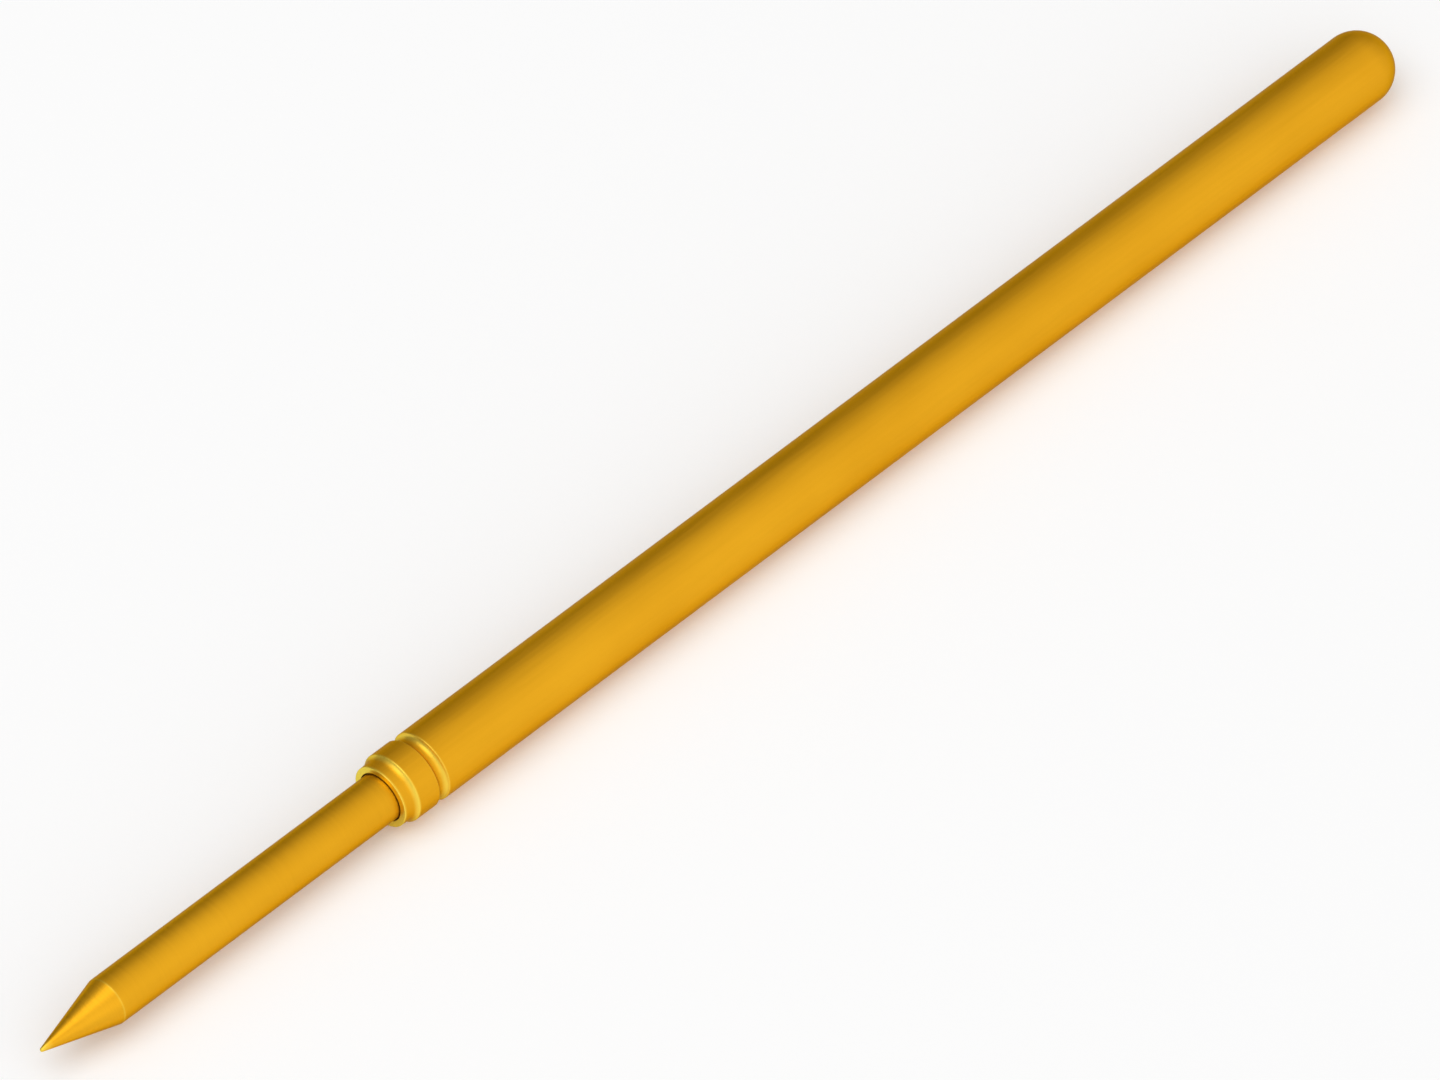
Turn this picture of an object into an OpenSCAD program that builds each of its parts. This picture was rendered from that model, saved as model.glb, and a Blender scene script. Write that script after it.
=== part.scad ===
// Spring contact pin: a one-piece drawn barrel with a round closed end, a turned
// plunger with a conical point, and the coil spring that pushes the plunger out.
// The pin lies along X with its point towards -X. The origin is on the axis, where
// the plain barrel begins behind the rolled groove.

/* [Barrel] */
// Outside diameter of the barrel
barrel_d = 1.36; // [1.32:0.01:1.5]
// Plain length of the barrel, from the groove to where the closed end starts to round
barrel_run = 23.31; // [20:0.01:30]
// Wall of the drawn tube
tube_wall = 0.13; // [0.11:0.005:0.145]

/* [Mouth and groove] */
// Length of the tapered collar at the mouth
collar_len = 0.16; // [0.1:0.01:0.5]
// Taper of the collar towards its rim, as the angle of its side to the axis
collar_taper = 2; // [1:0.5:8]
// Radius of the hollow curve that leads from the collar up to the band
flare_r = 0.175; // [0.1:0.005:0.25]
// Width of the full-diameter band between the flare and the groove
band_w = 0.48; // [0.45:0.01:1]
// Radius of the rolled groove's section
groove_r = 0.125; // [0.1:0.005:0.2]
// Wall left under the groove, where rolling has thinned the tube
groove_wall = 0.11; // [0.09:0.005:0.13]

/* [Plunger] */
// Diameter of the shaft that stands out of the mouth
shaft_d = 0.92; // [0.85:0.01:0.95]
// Full angle of the conical point
point_angle = 30; // [20:1:60]
// Radius that rounds the very end of the point
tip_r = 0.04; // [0.02:0.005:0.1]
// How far the plunger travels into the barrel
stroke = 6.35; // [3:0.05:6.5]
// What still stands out of the mouth when the plunger is fully in
proud_when_in = 1.95; // [1.8:0.05:3]
// Length of the guided head, from its front rim to the far edge of its tail
head_len = 3.5; // [2:0.1:6]
// Slant of the tail, which makes the spring press the head against the bore
tail_slant = 15; // [0:1:25]

/* [Spring] */
// Diameter of the spring wire
wire_d = 0.18; // [0.14:0.005:0.2]
// Working coils
coils = 44; // [30:1:50]
// Closed coils at each end
closed_coils = 1; // [1:1:2]

/* [Clearances] */
// Radial gap between sliding faces, and between the spring and the bore
running_gap = 0.02; // [0.01:0.005:0.03]
// Gap left where one piece rests against another
seat_gap = 0.02; // [0.01:0.005:0.05]
// Gap between the wires of the closed coils
coil_gap = 0.01; // [0.005:0.005:0.03]

/* [Hidden] */
$fn = 64;
gold = "#E0A01E";
steel = "#B9BBBD";

// How far the bore's cut reaches past the mouth
open_end = 1;
// How deep a straight side reaches into the arc that it runs on from
tuck = 0.00005;
// Finest step of a coil's rise, in mm
rise_step = 0.0002;
// The coils are drawn at this scale and enlarged again, so that rounding opens no joint
coil_draft = 0.1;

// Radii, from the axis out
shaft_rad = shaft_d / 2;
neck_rad = shaft_rad + running_gap;
collar_rad = neck_rad + tube_wall;
barrel_rad = barrel_d / 2;
bore_rad = barrel_rad - tube_wall;
head_rad = bore_rad - running_gap;

// The rolled groove, and the bead that it raises inside the bore
groove_floor = neck_rad + groove_wall;
groove_axis_rad = groove_floor + groove_r;
bead_r = groove_r + groove_wall;
groove_half_w = half_chord(groove_r, groove_axis_rad - barrel_rad);
groove_x = -groove_half_w;
band_x = groove_x - groove_half_w - band_w;

// The collar runs into the flare without a crease, and narrows to its rim at the mouth
mouth_rad = collar_rad - collar_len * tan(collar_taper);
flare_axis_rad = collar_rad + flare_r * cos(collar_taper);
flare_axis_x = band_x - half_chord(flare_r, flare_axis_rad - barrel_rad);
flare_x = flare_axis_x + flare_r * sin(collar_taper);
mouth_x = flare_x - collar_len;
neck_flare_r = flare_r + tube_wall;

// The plunger: its rim rests on the bead, and its tail meets the spring
protrusion = stroke + proud_when_in;
tip_x = mouth_x - protrusion;
rim_x = groove_x + half_chord(bead_r + seat_gap, groove_axis_rad - head_rad);
shoulder_x = rim_x - (head_rad - shaft_rad);
tail_x = rim_x + head_len;

// The spring: it runs from the tail to a seat inside the round end
wire_rad = wire_d / 2;
coil_rad = bore_rad - running_gap - wire_rad;
seat_reach = bore_rad - wire_rad - seat_gap;
spring_end_x = barrel_run + half_chord(seat_reach, coil_rad);
closed_rise = stepped((wire_d + coil_gap) / 2);
closed_len = 2 * closed_coils * closed_rise;
room = spring_end_x - tail_x - seat_gap - wire_rad;
coil_rise = stepped((room - 2 * closed_len) / (2 * coils));
working_len = 2 * coils * coil_rise;
spring_x = spring_end_x - working_len - 2 * closed_len;
joint_rad = sqrt(pow(coil_rad, 2) - pow(coil_rise / 2, 2));

// A rise in whole steps, so that each half coil ends exactly where the next begins
function stepped(rise) = floor(rise / rise_step) * rise_step;

// Half of the chord that a circle of radius r has at a distance off from its centre
function half_chord(r, off) = sqrt(pow(r, 2) - pow(max(off, 0), 2));

// Turns a section drawn as (radius, place along the pin) about the pin's axis
module turned() {
    rotate([0, 90, 0])
        rotate_extrude()
            intersection() {
                children();
                translate([0, tip_x]) square([barrel_rad, barrel_run + barrel_rad - tip_x]);
            }
}

// Section of a round-bottomed channel, open away from the axis
module channel(r, axis_rad, x) {
    translate([axis_rad, x]) circle(r);
    translate([axis_rad, x - r]) square([barrel_d, 2 * r]);
}

// Section of what is drawn in around the mouth
module collar_cut() {
    channel(flare_r, flare_axis_rad, flare_axis_x);
    polygon([
        [mouth_rad, mouth_x],
        [collar_rad + tuck, flare_x],
        [flare_axis_rad, flare_axis_x],
        [flare_axis_rad + barrel_d, flare_axis_x],
        [flare_axis_rad + barrel_d, mouth_x]
    ]);
}

// Section of the neck inside the mouth, which guides the shaft
module neck() {
    channel(neck_flare_r, neck_rad + neck_flare_r, flare_axis_x);
    translate([neck_rad, mouth_x - open_end]) square([barrel_d, flare_axis_x - mouth_x + open_end]);
}

module barrel_outline() {
    difference() {
        union() {
            translate([0, mouth_x]) square([barrel_rad, barrel_run - mouth_x]);
            translate([0, barrel_run]) circle(barrel_rad);
        }
        collar_cut();
        channel(groove_r, groove_axis_rad, groove_x);
    }
}

module barrel_hollow() {
    difference() {
        union() {
            translate([0, mouth_x - open_end]) square([bore_rad, barrel_run - mouth_x + open_end]);
            translate([0, barrel_run]) circle(bore_rad);
        }
        neck();
        channel(bead_r, groove_axis_rad, groove_x);
    }
}

module barrel() {
    color(gold)
        turned()
            difference() {
                barrel_outline();
                barrel_hollow();
            }
}

module plunger_outline() {
    half = point_angle / 2;
    touch_rad = tip_r * cos(half);
    touch_x = tip_x + tip_r - tip_r * sin(half);
    cone_end_x = touch_x + (shaft_rad - touch_rad) / tan(half);
    translate([0, tip_x + tip_r]) circle(tip_r);
    polygon([
        [0, tip_x + tip_r],
        [touch_rad - tuck, touch_x],
        [shaft_rad, cone_end_x],
        [shaft_rad, shoulder_x],
        [head_rad, rim_x],
        [head_rad, tail_x],
        [0, tail_x]
    ]);
}

module plunger() {
    color(gold)
        difference() {
            turned() plunger_outline();
            translate([tail_x, 0, head_rad])
                rotate([0, tail_slant, 0])
                    translate([0, -head_len, -2 * head_len])
                        cube([head_len, 2 * head_len, 3 * head_len]);
        }
}

// Half a coil that climbs by rise: a half ring tilted about the line through its ends
module half_coil(rise) {
    ring_rad = sqrt(pow(joint_rad, 2) + pow(rise / 2, 2));
    rotate([0, asin(rise / 2 / ring_rad), 0])
        rotate_extrude(angle = 180)
            translate([ring_rad * coil_draft, 0])
                circle(wire_rad * coil_draft, $fn = 24);
}

// A run of half coils, each turned half a turn from the last and face to face with it
module coil_run(count, rise, first) {
    for (i = [0 : count - 1])
        translate([0, 0, (i + 0.5) * rise * coil_draft])
            rotate([0, 0, 180 * (first + i)])
                half_coil(rise);
}

module spring() {
    closed = 2 * closed_coils;
    color(steel)
        translate([spring_x, 0, 0])
            rotate([0, 90, 0])
                scale(1 / coil_draft) {
                    coil_run(closed, closed_rise, 0);
                    translate([0, 0, closed_len * coil_draft])
                        coil_run(2 * coils, coil_rise, closed);
                    translate([0, 0, (closed_len + working_len) * coil_draft])
                        coil_run(closed, closed_rise, closed + 2 * coils);
                }
}

barrel();
plunger();
spring();
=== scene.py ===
import math

import bmesh
import bpy
from mathutils import Matrix, Vector


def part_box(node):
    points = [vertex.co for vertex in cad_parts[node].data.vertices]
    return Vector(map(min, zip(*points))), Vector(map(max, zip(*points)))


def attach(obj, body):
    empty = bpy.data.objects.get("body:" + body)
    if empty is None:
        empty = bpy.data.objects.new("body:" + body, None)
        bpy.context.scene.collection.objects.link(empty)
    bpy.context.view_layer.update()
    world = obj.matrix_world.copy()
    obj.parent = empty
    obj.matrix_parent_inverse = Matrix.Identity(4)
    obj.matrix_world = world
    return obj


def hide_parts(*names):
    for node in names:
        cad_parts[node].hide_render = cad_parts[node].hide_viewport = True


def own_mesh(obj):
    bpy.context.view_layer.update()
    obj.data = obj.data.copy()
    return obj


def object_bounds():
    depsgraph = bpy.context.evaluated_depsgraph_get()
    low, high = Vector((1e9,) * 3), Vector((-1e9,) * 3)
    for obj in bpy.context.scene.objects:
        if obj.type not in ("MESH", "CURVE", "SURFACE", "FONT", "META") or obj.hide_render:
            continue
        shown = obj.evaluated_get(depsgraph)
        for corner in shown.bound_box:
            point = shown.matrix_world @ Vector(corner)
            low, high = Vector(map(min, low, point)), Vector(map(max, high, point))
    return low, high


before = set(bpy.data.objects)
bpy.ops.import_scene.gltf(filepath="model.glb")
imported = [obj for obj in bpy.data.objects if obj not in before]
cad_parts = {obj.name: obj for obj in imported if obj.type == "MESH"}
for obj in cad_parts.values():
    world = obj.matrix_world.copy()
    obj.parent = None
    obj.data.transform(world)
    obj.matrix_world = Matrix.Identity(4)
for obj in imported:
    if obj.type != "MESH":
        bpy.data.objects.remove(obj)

cad_low, cad_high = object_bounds()


# ---------------------------------------------------------------- barrel
# A seamless cup of thin brass, deep drawn with a round closed end and gold plated.
# Its mouth is drawn in around the plunger's shaft, and a groove rolled in behind the
# mouth raises a bead inside that keeps the plunger in. Sizes are in millimetres.
mm_per_m = 1000
barrel_low, barrel_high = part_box("barrel")
mouth_x = barrel_low.x * mm_per_m
barrel_rad = barrel_high.z * mm_per_m
wall = 0.13
bore_rad = barrel_rad - wall
round_end_x = barrel_high.x * mm_per_m - barrel_rad

shaft_rad = 0.46
running_gap = 0.02
neck_rad = shaft_rad + running_gap
groove_r = 0.125
groove_wall = 0.11
groove_axis_rad = neck_rad + groove_wall + groove_r
bead_r = groove_r + groove_wall
groove_half = math.sqrt(groove_r**2 - (groove_axis_rad - barrel_rad) ** 2)
groove_x = -groove_half
band_w = 0.48
band_x = groove_x - groove_half - band_w

collar_len = 0.16
collar_taper = math.radians(2)
collar_rad = neck_rad + wall
mouth_rad = collar_rad - collar_len * math.tan(collar_taper)
flare_r = 0.175
flare_x = mouth_x + collar_len
flare_axis = (
    flare_x - flare_r * math.sin(collar_taper),
    collar_rad + flare_r * math.cos(collar_taper),
)
lip_rounding = 0.012
turn_steps = 160


def begin(x, rad):
    """A section starts as one point, drawn in the plane of the pin's axis."""
    bm = bmesh.new()
    return bm, bmesh.ops.create_vert(bm, co=(x, 0, rad))["vert"][0]


def straight(bm, pen, x, rad):
    """Draws on to a place, with a point near each end of the run to keep its shading flat."""
    guard = 0.02
    start, end = pen.co.copy(), Vector((x, 0, rad))
    inset = (end - start).normalized() * guard
    for place in (start + inset, end - inset, end):
        new = bmesh.ops.extrude_vert_indiv(bm, verts=[pen])["verts"][0]
        bmesh.ops.translate(bm, verts=[new], vec=place - new.co)
        pen = new
    return pen


def arc(bm, pen, x, rad, end_x, end_rad, steps):
    """Draws an arc about the centre (x, rad), the short way round."""
    turn = math.atan2(end_x - x, end_rad - rad) - math.atan2(pen.co.x - x, pen.co.z - rad)
    turn = (turn + math.pi) % (2 * math.pi) - math.pi
    made = bmesh.ops.spin(
        bm, geom=[pen], cent=(x, 0, rad), axis=(0, 1, 0), angle=turn, steps=steps
    )
    return [v for v in made["geom_last"] if isinstance(v, bmesh.types.BMVert)][0]


def soften(bm, corners, size):
    """Rounds the named corners of a section."""
    bmesh.ops.bevel(
        bm, geom=corners, offset=size, offset_type="OFFSET", segments=4, profile=0.5,
        affect="VERTICES", clamp_overlap=True, material=-1,
    )


def turn_section(bm):
    """Turns a section about the pin's axis into a closed shell."""
    bmesh.ops.spin(
        bm, geom=bm.verts[:] + bm.edges[:], cent=(0, 0, 0), axis=(1, 0, 0),
        angle=2 * math.pi, steps=turn_steps, use_merge=True,
    )
    bmesh.ops.remove_doubles(bm, verts=bm.verts[:], dist=1e-4)


# The section's outside, from the round end to the mouth.
bm, pen = begin(round_end_x + barrel_rad, 0)
pen = arc(bm, pen, round_end_x, 0, round_end_x, barrel_rad, steps=40)
pen = straight(bm, pen, 0, barrel_rad)
corners = [pen]
pen = arc(bm, pen, groove_x, groove_axis_rad, 2 * groove_x, barrel_rad, steps=12)
corners.append(pen)
pen = straight(bm, pen, band_x, barrel_rad)
corners.append(pen)
pen = arc(bm, pen, *flare_axis, flare_x, collar_rad, steps=8)
pen = straight(bm, pen, mouth_x, mouth_rad)
corners.append(pen)
pen = straight(bm, pen, mouth_x, neck_rad)
corners.append(pen)

# Its inside: the neck, the bead under the groove, and the bore back to the round end.
pen = straight(bm, pen, flare_axis[0], neck_rad)
neck_flare_r = flare_r + wall
neck_flare_rad = neck_rad + neck_flare_r
neck_end_x = flare_axis[0] + math.sqrt(
    neck_flare_r**2 - (neck_flare_rad - bore_rad) ** 2
)
pen = arc(bm, pen, flare_axis[0], neck_flare_rad, neck_end_x, bore_rad, steps=8)
bead_half = math.sqrt(bead_r**2 - (groove_axis_rad - bore_rad) ** 2)
pen = straight(bm, pen, groove_x - bead_half, bore_rad)
pen = arc(bm, pen, groove_x, groove_axis_rad, groove_x + bead_half, bore_rad, steps=12)
pen = straight(bm, pen, round_end_x, bore_rad)
pen = arc(bm, pen, round_end_x, 0, round_end_x + bore_rad, 0, steps=24)
soften(bm, corners, lip_rounding)
turn_section(bm)


def tool_marks():
    """The skin of a metal piece: the lines that its tool left, the fine grain of its
    plating, and a slow change of tone. Along and Across give how close the marks lie
    along the pin and across it."""
    grain_share = 0.12
    line_share = 0.4
    group = bpy.data.node_groups.new("tool_marks", "ShaderNodeTree")
    face = group.interface
    face.new_socket("Place", in_out="INPUT", socket_type="NodeSocketVector")
    face.new_socket("Along", in_out="INPUT", socket_type="NodeSocketFloat")
    face.new_socket("Across", in_out="INPUT", socket_type="NodeSocketFloat")
    face.new_socket("Relief", in_out="OUTPUT", socket_type="NodeSocketFloat")
    face.new_socket("Tone", in_out="OUTPUT", socket_type="NodeSocketFloat")
    nodes, links = group.nodes, group.links
    given = nodes.new("NodeGroupInput")
    result = nodes.new("NodeGroupOutput")

    spacing = nodes.new("ShaderNodeCombineXYZ")
    stretch = nodes.new("ShaderNodeVectorMath")
    stretch.operation = "MULTIPLY"
    lines = nodes.new("ShaderNodeTexNoise")
    lines.inputs["Scale"].default_value = 1
    lines.inputs["Detail"].default_value = 2
    lines.inputs["Roughness"].default_value = 0.6
    links.new(given.outputs["Along"], spacing.inputs["X"])
    links.new(given.outputs["Across"], spacing.inputs["Y"])
    links.new(given.outputs["Across"], spacing.inputs["Z"])
    links.new(given.outputs["Place"], stretch.inputs[0])
    links.new(spacing.outputs["Vector"], stretch.inputs[1])
    links.new(stretch.outputs["Vector"], lines.inputs["Vector"])

    grain = nodes.new("ShaderNodeTexNoise")
    grain.inputs["Scale"].default_value = 55000
    grain.inputs["Detail"].default_value = 1
    relief = nodes.new("ShaderNodeMath")
    relief.operation = "MULTIPLY_ADD"
    relief.inputs[1].default_value = grain_share
    links.new(given.outputs["Place"], grain.inputs["Vector"])
    links.new(grain.outputs["Fac"], relief.inputs[0])
    links.new(lines.outputs["Fac"], relief.inputs[2])
    links.new(relief.outputs["Value"], result.inputs["Relief"])

    cloud = nodes.new("ShaderNodeTexNoise")
    cloud.inputs["Scale"].default_value = 450
    cloud.inputs["Detail"].default_value = 2
    cloud.inputs["Roughness"].default_value = 0.45
    tone = nodes.new("ShaderNodeMix")
    tone.inputs["Factor"].default_value = line_share
    links.new(given.outputs["Place"], cloud.inputs["Vector"])
    links.new(cloud.outputs["Fac"], tone.inputs["A"])
    links.new(lines.outputs["Fac"], tone.inputs["B"])
    links.new(tone.outputs["Result"], result.inputs["Tone"])
    return group


marks = tool_marks()


def metal(name, along, across, deep, pale, wear_and_highlight_colour, wear_and_highlight_places, roughness, line_depth):
    """A satin metal skin. The list of places gives places along the pin, in millimetres, and a
    share
    from 0 to 1 for each: there the metal is smoother, polished by handling or by the tool, and
    its colour is mixed towards the third colour, which on the gold pieces is a painted
    highlight and on the spring paler polished steel. line_depth is how deep the tool's lines
    are, in metres."""
    unevenness = 0.06
    polish_gain = 0.12
    material = bpy.data.materials.new(name)
    material.use_nodes = True
    nodes, links = material.node_tree.nodes, material.node_tree.links
    skin = nodes["Principled BSDF"]
    skin.inputs["Metallic"].default_value = 1
    skin.inputs["Specular Tint"].default_value = (0.4, 0.42, 0.4, 1)
    place = nodes.new("ShaderNodeTexCoord")
    worked = nodes.new("ShaderNodeGroup")
    worked.node_tree = marks
    worked.inputs["Along"].default_value = along
    worked.inputs["Across"].default_value = across
    links.new(place.outputs["Object"], worked.inputs["Place"])

    tone = nodes.new("ShaderNodeMapRange")
    tone.inputs["From Min"].default_value = 0.35
    tone.inputs["From Max"].default_value = 0.65
    shade = nodes.new("ShaderNodeMix")
    shade.data_type = "RGBA"
    shade.inputs["A"].default_value = (*deep, 1)
    shade.inputs["B"].default_value = (*pale, 1)
    links.new(worked.outputs["Tone"], tone.inputs["Value"])
    links.new(tone.outputs["Result"], shade.inputs["Factor"])

    split = nodes.new("ShaderNodeSeparateXYZ")
    reach = nodes.new("ShaderNodeMapRange")
    first_x, last_x = wear_and_highlight_places[0][0], wear_and_highlight_places[-1][0]
    reach.inputs["From Min"].default_value = first_x / mm_per_m
    reach.inputs["From Max"].default_value = last_x / mm_per_m
    wear_and_highlight_share = nodes.new("ShaderNodeValToRGB")
    stops = wear_and_highlight_share.color_ramp.elements
    for _ in wear_and_highlight_places[2:]:
        stops.new(0.5)
    for stop, (x, share) in zip(stops, wear_and_highlight_places):
        stop.position = (x - first_x) / (last_x - first_x)
        stop.color = (share, share, share, 1)
    # Mixes the colour towards the third colour where the share is high: a painted highlight on
    # the gold pieces.
    wear_and_highlight_mix = nodes.new("ShaderNodeMix")
    wear_and_highlight_mix.data_type = "RGBA"
    wear_and_highlight_mix.inputs["B"].default_value = (*wear_and_highlight_colour, 1)
    links.new(place.outputs["Object"], split.inputs["Vector"])
    links.new(split.outputs["X"], reach.inputs["Value"])
    links.new(reach.outputs["Result"], wear_and_highlight_share.inputs["Fac"])
    links.new(wear_and_highlight_share.outputs["Color"], wear_and_highlight_mix.inputs["Factor"])
    links.new(shade.outputs["Result"], wear_and_highlight_mix.inputs["A"])
    links.new(wear_and_highlight_mix.outputs["Result"], skin.inputs["Base Color"])

    satin = nodes.new("ShaderNodeMapRange")
    satin.inputs["From Min"].default_value = 0.25
    satin.inputs["From Max"].default_value = 0.75
    satin.inputs["To Min"].default_value = roughness - unevenness
    satin.inputs["To Max"].default_value = roughness + unevenness
    sheen = nodes.new("ShaderNodeMath")
    sheen.operation = "MULTIPLY_ADD"
    sheen.inputs[1].default_value = -polish_gain
    links.new(worked.outputs["Relief"], satin.inputs["Value"])
    links.new(wear_and_highlight_share.outputs["Color"], sheen.inputs[0])
    links.new(satin.outputs["Result"], sheen.inputs[2])
    links.new(sheen.outputs["Value"], skin.inputs["Roughness"])

    relief = nodes.new("ShaderNodeBump")
    relief.inputs["Strength"].default_value = 1
    relief.inputs["Distance"].default_value = line_depth
    links.new(worked.outputs["Relief"], relief.inputs["Height"])
    links.new(relief.outputs["Normal"], skin.inputs["Normal"])
    return material


def finished(bm, name, *materials):
    """Brings a piece from millimetres to metres and gives it its finish."""
    bmesh.ops.recalc_face_normals(bm, faces=bm.faces[:])
    bmesh.ops.scale(bm, vec=[1 / mm_per_m] * 3, verts=bm.verts[:])
    for face in bm.faces:
        face.smooth = True
    mesh = bpy.data.meshes.new(name)
    bm.to_mesh(mesh)
    bm.free()
    for material in materials:
        mesh.materials.append(material)
    piece = bpy.data.objects.new(name, mesh)
    bpy.context.scene.collection.objects.link(piece)
    return piece


gold_deep = (0.77, 0.372, 0.0130)
gold_pale = (0.83, 0.415, 0.0165)
# The lighter, yellower gold is a painted highlight, laid on the mouth's face and on the edges
# of the flare, the groove and the cone.
gold_painted_highlight = (1.0, 0.80, 0.11)
barrel_gold = metal(
    "drawn_gold", along=600, across=15000, deep=gold_deep, pale=gold_pale, wear_and_highlight_colour=gold_painted_highlight,
    # These places take the lighter gold as painted highlights: the mouth's face, the flare's
    # end and both edges of the groove. They are a little smoother too.
    wear_and_highlight_places=[
        (mouth_x, 1), (mouth_x + 0.01, 0.5), (mouth_x + 0.05, 0), (band_x - 0.09, 0),
        (band_x - 0.01, 0.7), (band_x + 0.03, 0), (2 * groove_x - 0.02, 0),
        (2 * groove_x, 0.3), (2 * groove_x + 0.03, 0), (groove_x + 0.02, 0),
        (-0.02, 0.7), (0.03, 0),
    ],
    roughness=0.42, line_depth=2.5e-6,
)

# The plating hardly reaches into the bore, so the inner wall stays dull and brown.
brass_deep = (0.30, 0.13, 0.02)
brass_pale = (0.38, 0.17, 0.03)
bore_brass = metal(
    "bore_brass", along=600, across=15000, deep=brass_deep, pale=brass_pale, wear_and_highlight_colour=brass_pale,
    wear_and_highlight_places=[(mouth_x, 0), (round_end_x, 0)], roughness=0.5, line_depth=1e-6,
)
plating_reach = 0.008
for face in bm.faces:
    spot = face.calc_center_median()
    inner_rad = neck_rad if spot.x < neck_end_x else bore_rad
    inside = spot.yz.length < inner_rad + plating_reach
    face.material_index = int(inside and spot.x < round_end_x)
barrel = finished(bm, "barrel_tube", barrel_gold, bore_brass)
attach(barrel, "barrel")
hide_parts("barrel")


# ---------------------------------------------------------------- spring
# A compression spring of hard stainless wire, coiled right-handed with one closed coil
# at each end. It is dropped into the barrel before the plunger and rests in the round end.
spring_low, spring_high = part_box("spring")
wire_rad = 0.09
coil_gap = 0.01
coils = 44
coil_steps = 32
coil_rad = spring_high.z * mm_per_m - wire_rad
spring_span = spring_high.x - spring_low.x
spring_len = spring_span * mm_per_m - 2 * wire_rad
closed_rise = 2 * wire_rad + coil_gap
coil_rise = (spring_len - 2 * closed_rise) / coils

bm = bmesh.new()
wire = bmesh.ops.create_circle(
    bm, radius=wire_rad, segments=12,
    matrix=Matrix.Translation((spring_low.x * mm_per_m + wire_rad, 0, coil_rad))
    @ Matrix.Rotation(math.radians(90), 4, "X"),
)["verts"]
ring = wire + list({edge for vert in wire for edge in vert.link_edges})
for turns, rise in ((1, closed_rise), (coils, coil_rise), (1, closed_rise)):
    ring = bmesh.ops.spin(
        bm, geom=ring, cent=(0, 0, 0), axis=(1, 0, 0), dvec=(rise / coil_steps, 0, 0),
        angle=turns * 2 * math.pi, steps=turns * coil_steps,
    )["geom_last"]
bmesh.ops.holes_fill(bm, edges=[e for e in bm.edges if e.is_boundary], sides=0)

# The end turns are polished where they rub on the tail and on the round end.
spring_steel = metal(
    "spring_wire", along=9000, across=9000,
    deep=(0.45, 0.46, 0.48), pale=(0.58, 0.59, 0.60), wear_and_highlight_colour=(0.66, 0.67, 0.68),
    wear_and_highlight_places=[(3.4, 1), (3.7, 0), (23.2, 0), (23.4, 1)],
    roughness=0.34, line_depth=1e-6,
)
spring = finished(bm, "coil_spring", spring_steel)
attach(spring, "barrel")
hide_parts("spring")
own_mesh(spring)


# ---------------------------------------------------------------- plunger
# A brass rod turned in one piece and gold plated: the conical contact point, the shaft,
# and a wider head that runs in the bore. The head's rim stops against the bead, and its
# tail is cut at a slant so that the spring presses it to one side of the bore.
plunger_low, plunger_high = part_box("plunger")
tip_x = plunger_low.x * mm_per_m
tail_x = plunger_high.x * mm_per_m
head_rad = plunger_high.z * mm_per_m
head_len = 3.5
rim_x = tail_x - head_len
tail_slant = math.radians(15)
point_half = math.radians(15)
tip_r = 0.04
tip_edge = (tip_x + tip_r - tip_r * math.sin(point_half), tip_r * math.cos(point_half))
cone_end_x = tip_edge[0] + (shaft_rad - tip_edge[1]) / math.tan(point_half)

bm, pen = begin(tip_x, 0)
pen = arc(bm, pen, tip_x + tip_r, 0, *tip_edge, steps=8)
pen = straight(bm, pen, cone_end_x, shaft_rad)
corners = [pen]
pen = straight(bm, pen, rim_x - (head_rad - shaft_rad), shaft_rad)
pen = straight(bm, pen, rim_x, head_rad)
corners.append(pen)
pen = straight(bm, pen, tail_x, head_rad)
pen = straight(bm, pen, tail_x, 0)
soften(bm, corners, lip_rounding)
turn_section(bm)

# The cut starts just inside the tail's far edge, so that it misses the points there.
cut_inset = 0.001
cut = bmesh.ops.bisect_plane(
    bm, geom=bm.verts[:] + bm.edges[:] + bm.faces[:], dist=1e-5,
    plane_co=(tail_x - cut_inset, 0, head_rad),
    plane_no=(math.cos(tail_slant), 0, -math.sin(tail_slant)), clear_outer=True,
)
rim = [e for e in cut["geom_cut"] if isinstance(e, bmesh.types.BMEdge)]
bmesh.ops.holes_fill(bm, edges=rim, sides=0)

plunger_gold = metal(
    "turned_gold", along=17000, across=400, deep=gold_deep, pale=gold_pale, wear_and_highlight_colour=gold_painted_highlight,
    # The point and the foot of the cone take the lighter gold as painted highlights, and are a
    # little smoother.
    wear_and_highlight_places=[
        (tip_x, 0.8), (tip_x + 0.03, 0.5), (tip_x + 0.25, 0), (cone_end_x - 0.03, 0),
        (cone_end_x, 0.3), (cone_end_x + 0.02, 0),
    ],
    roughness=0.38, line_depth=2.5e-6,
)
plunger = finished(bm, "turned_plunger", plunger_gold)
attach(plunger, "plunger")
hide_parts("plunger")


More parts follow.
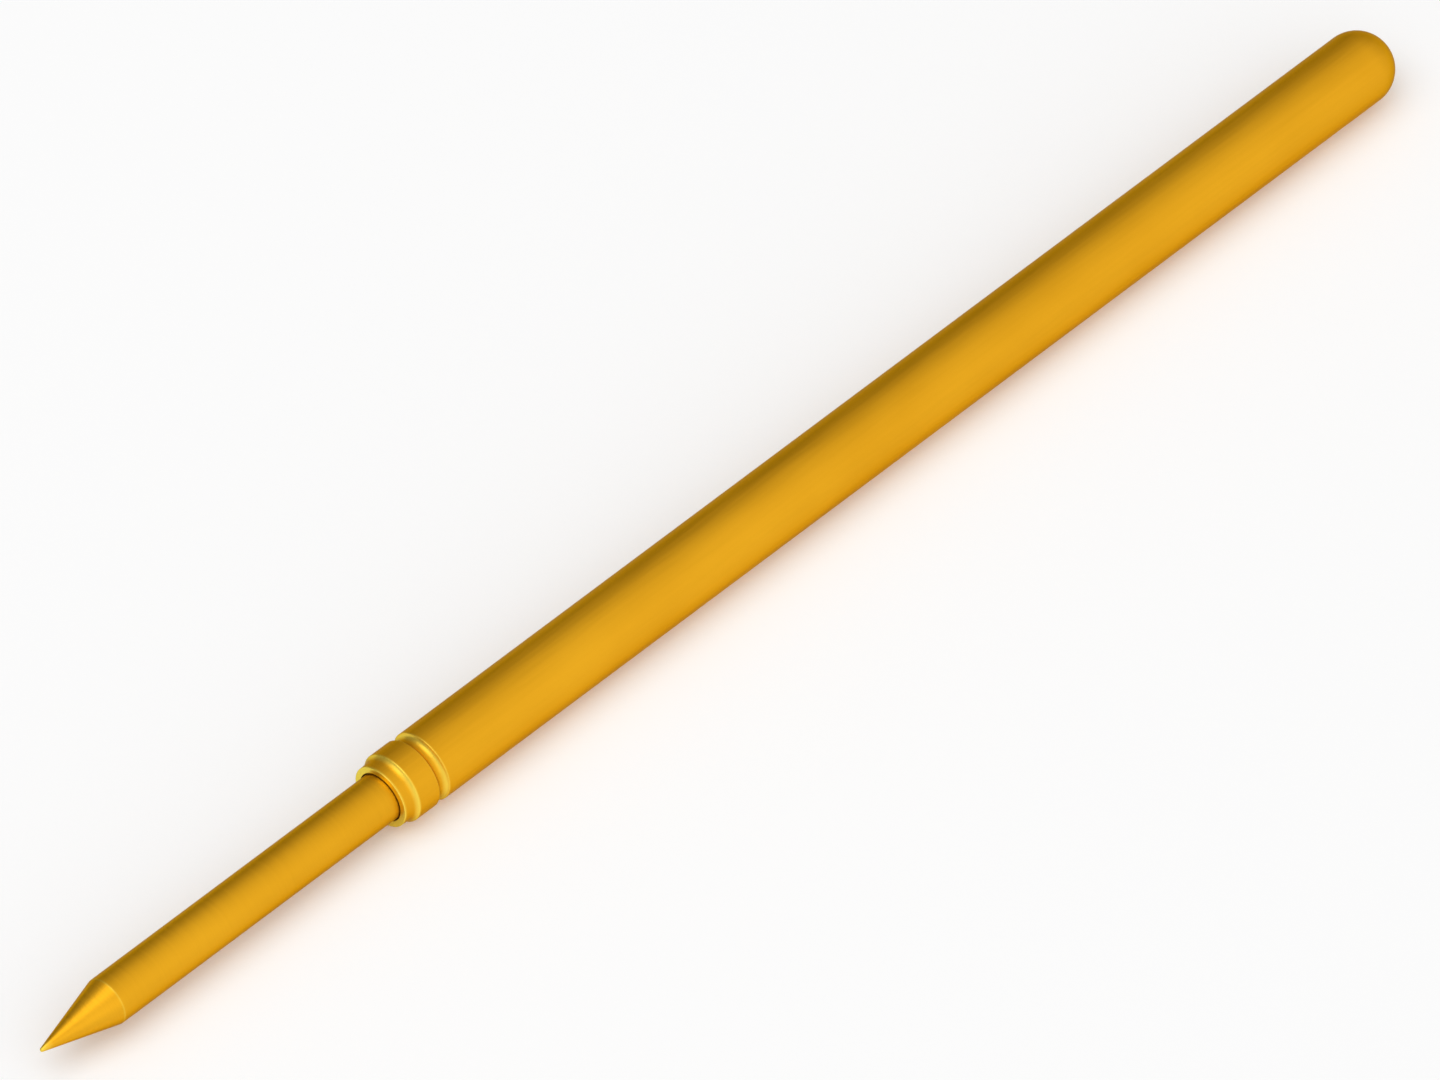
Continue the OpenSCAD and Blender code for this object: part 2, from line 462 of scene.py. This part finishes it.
# ---------------------------------------------------------------- floor
# A plain pale table top, on which the pin lies on the side of its barrel. It glows
# faintly for the camera and in reflections, which brings it near to white.
floor_half = 1.5
floor_glow = 0.11
floor_paint = bpy.data.materials.new("pale_floor")
floor_paint.use_nodes = True
nodes, links = floor_paint.node_tree.nodes, floor_paint.node_tree.links
paint = nodes["Principled BSDF"]
paint.inputs["Base Color"].default_value = (0.9, 0.9, 0.9, 1)
paint.inputs["Roughness"].default_value = 0.9
paint.inputs["Specular IOR Level"].default_value = 0
paint.inputs["Emission Color"].default_value = (1, 1, 1, 1)
rays = nodes.new("ShaderNodeLightPath")
seen = nodes.new("ShaderNodeMath")
seen.operation = "MAXIMUM"
seen_through = nodes.new("ShaderNodeMath")
seen_through.operation = "MAXIMUM"
glow = nodes.new("ShaderNodeMath")
glow.operation = "MULTIPLY"
glow.inputs[1].default_value = floor_glow
links.new(rays.outputs["Is Camera Ray"], seen.inputs[0])
links.new(rays.outputs["Is Glossy Ray"], seen.inputs[1])
links.new(seen.outputs["Value"], seen_through.inputs[0])
links.new(rays.outputs["Is Transmission Ray"], seen_through.inputs[1])
links.new(seen_through.outputs["Value"], glow.inputs[0])
links.new(glow.outputs["Value"], paint.inputs["Emission Strength"])

bm = bmesh.new()
bmesh.ops.create_grid(
    bm, x_segments=1, y_segments=1, size=floor_half,
    matrix=Matrix.Translation((0, 0, cad_low.z)),
)
floor_mesh = bpy.data.meshes.new("floor")
bm.to_mesh(floor_mesh)
bm.free()
floor_mesh.materials.append(floor_paint)
floor = bpy.data.objects.new("floor", floor_mesh)
bpy.context.scene.collection.objects.link(floor)


# ---------------------------------------------------------------- light
# A pale room that is brighter in front of the pin than behind it, with a large soft box
# overhead and a faint one in front.
room_level = 0.595
room_swing = 0.48
scene = bpy.context.scene
scene.view_settings.view_transform = "Standard"
room = bpy.data.worlds.new("room")
room.use_nodes = True
nodes, links = room.node_tree.nodes, room.node_tree.links
outlook = nodes.new("ShaderNodeTexCoord")
front = nodes.new("ShaderNodeVectorMath")
front.operation = "DOT_PRODUCT"
front.inputs[1].default_value = (0.1, -0.9, 0.36)
level = nodes.new("ShaderNodeMath")
level.operation = "MULTIPLY_ADD"
level.inputs[1].default_value = room_swing
level.inputs[2].default_value = room_level
nodes["Background"].inputs["Color"].default_value = (1, 1, 1, 1)
links.new(outlook.outputs["Generated"], front.inputs[0])
links.new(front.outputs["Value"], level.inputs[0])
links.new(level.outputs["Value"], nodes["Background"].inputs["Strength"])
scene.world = room

middle = (cad_low + cad_high) / 2


def soft_box(name, towards, distance, width, height, brightness):
    """A soft lamp that faces the pin. brightness is how bright its face looks."""
    light = bpy.data.lights.new(name, "AREA")
    light.shape = "RECTANGLE"
    light.size, light.size_y = width, height
    light.energy = brightness * math.pi * width * height
    lamp = bpy.data.objects.new(name, light)
    direction = Vector(towards).normalized()
    lamp.location = middle + direction * distance
    lamp.rotation_euler = direction.to_track_quat("Z", "Y").to_euler()
    lamp.visible_camera = False
    scene.collection.objects.link(lamp)


soft_box(
    "overhead_box", towards=(-0.35, 0.05, 0.93), distance=0.4, width=0.36, height=0.36,
    brightness=1.2,
)
soft_box(
    "front_box", towards=(-0.3, -0.85, 0.4), distance=0.4, width=0.4, height=0.3,
    brightness=0.2,
)


# ---------------------------------------------------------------- camera
# A very long lens, which looks down at the pin from in front and from the side of its
# point. The pin lies a touch off the middle of the frame.
azimuth, elevation = math.radians(-45.8), math.radians(46.5)
back = Vector((
    math.sin(azimuth) * math.cos(elevation),
    -math.cos(azimuth) * math.cos(elevation),
    math.sin(elevation),
))
facing = (-back).to_track_quat("-Z", "Y")
seen_width = 0.0249
lens = bpy.data.cameras.new("camera")
lens.lens = 1150
lens.sensor_width = 36
distance = seen_width * lens.lens / lens.sensor_width
lens.clip_start, lens.clip_end = 0.01, 10
camera = bpy.data.objects.new("camera", lens)
off_along = -0.00007
off_in_frame = Vector((0.00007, 0.00012, 0))
aim = Vector((middle.x + off_along, 0, 0)) + facing @ off_in_frame
camera.location = aim + back * distance
camera.rotation_mode = "QUATERNION"
camera.rotation_quaternion = facing
scene.collection.objects.link(camera)
scene.camera = camera
